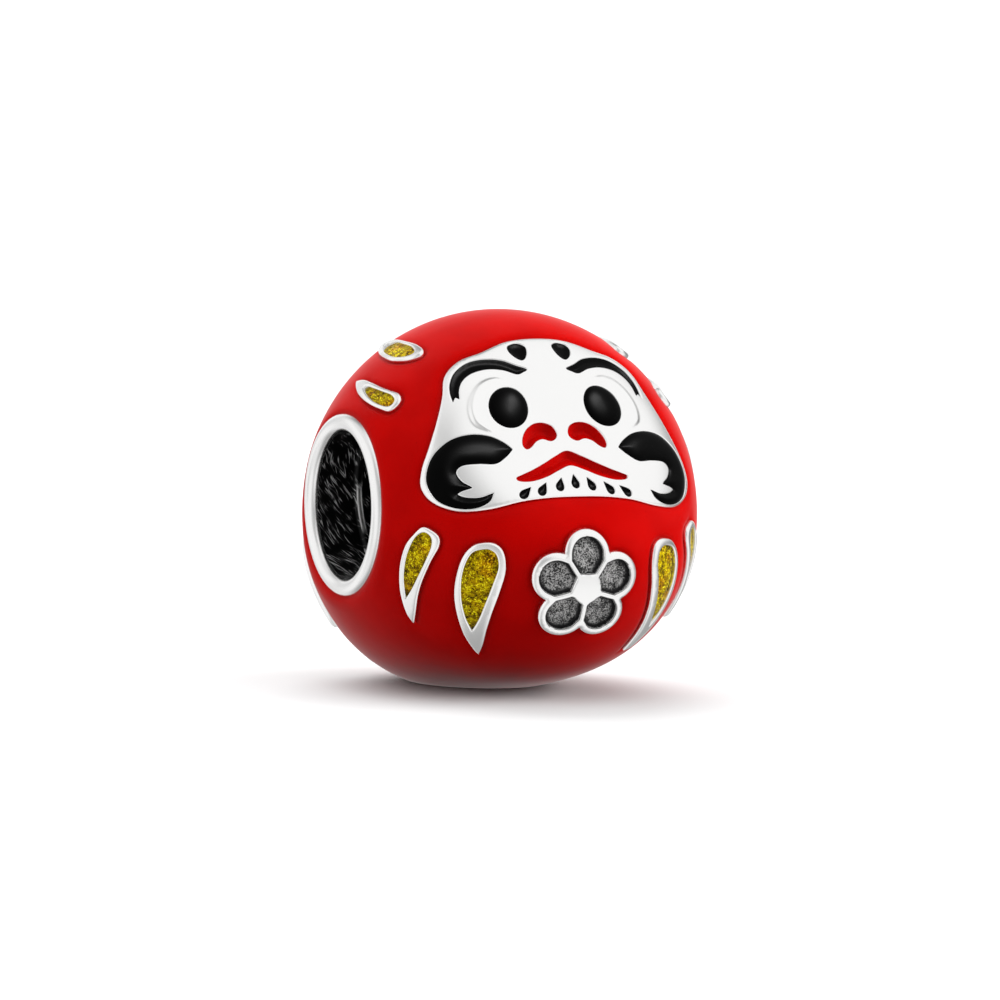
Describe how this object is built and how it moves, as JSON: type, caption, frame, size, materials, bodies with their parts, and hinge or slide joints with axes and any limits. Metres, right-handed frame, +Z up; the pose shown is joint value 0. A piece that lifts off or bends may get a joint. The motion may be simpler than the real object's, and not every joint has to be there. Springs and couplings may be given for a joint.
{
  "type": "daruma charm bead",
  "caption": "Round jewellery bead shaped as a daruma doll: hollow silver casting on a threaded core sleeve, with red, black and gold enamel in its pockets.",
  "frame": {"origin": "centre of the flat foot, straight below the middle of the bore", "axes": "+X along the bore towards the doll's left side (the viewer's right), -Y out of the face, +Z up"},
  "size_m": [0.0108, 0.013, 0.0115],
  "materials": {
    "silver": "polished sterling silver",
    "dark_silver": "polished silver edges round blackened, grained petal hollows",
    "red_enamel": "opaque red enamel, glossy",
    "black_enamel": "opaque black enamel, glossy",
    "gold_enamel": "clear enamel full of gold glitter"
  },
  "bodies": {
    "root": {"body_casting": "silver", "core_sleeve": "silver", "crest_plaque": "dark_silver", "red_enamel_coat": "red_enamel", "eye_left": "black_enamel", "eye_right": "black_enamel", "brow_left": "black_enamel", "brow_right": "black_enamel", "forehead_spot_left": "black_enamel", "forehead_spot_right": "black_enamel", "cheek_beard_left": "black_enamel", "cheek_beard_right": "black_enamel", "chin_whisker_1": "black_enamel", "chin_whisker_2": "black_enamel", "chin_whisker_3": "black_enamel", "chin_whisker_4": "black_enamel", "chin_whisker_5": "black_enamel", "chin_whisker_6": "black_enamel", "chin_whisker_7": "black_enamel", "nostril_left": "red_enamel", "nostril_right": "red_enamel", "mouth_enamel": "red_enamel", "gold_front_inner_left": "gold_enamel", "gold_front_inner_right": "gold_enamel", "gold_front_outer_left": "gold_enamel", "gold_front_outer_right": "gold_enamel", "gold_shoulder_upper_left": "gold_enamel", "gold_shoulder_upper_right": "gold_enamel", "gold_shoulder_lower_left": "gold_enamel", "gold_shoulder_lower_right": "gold_enamel", "gold_back_inner_left": "gold_enamel", "gold_back_inner_right": "gold_enamel", "gold_back_outer_left": "gold_enamel", "gold_back_outer_right": "gold_enamel"}
  },
  "joints": []
}
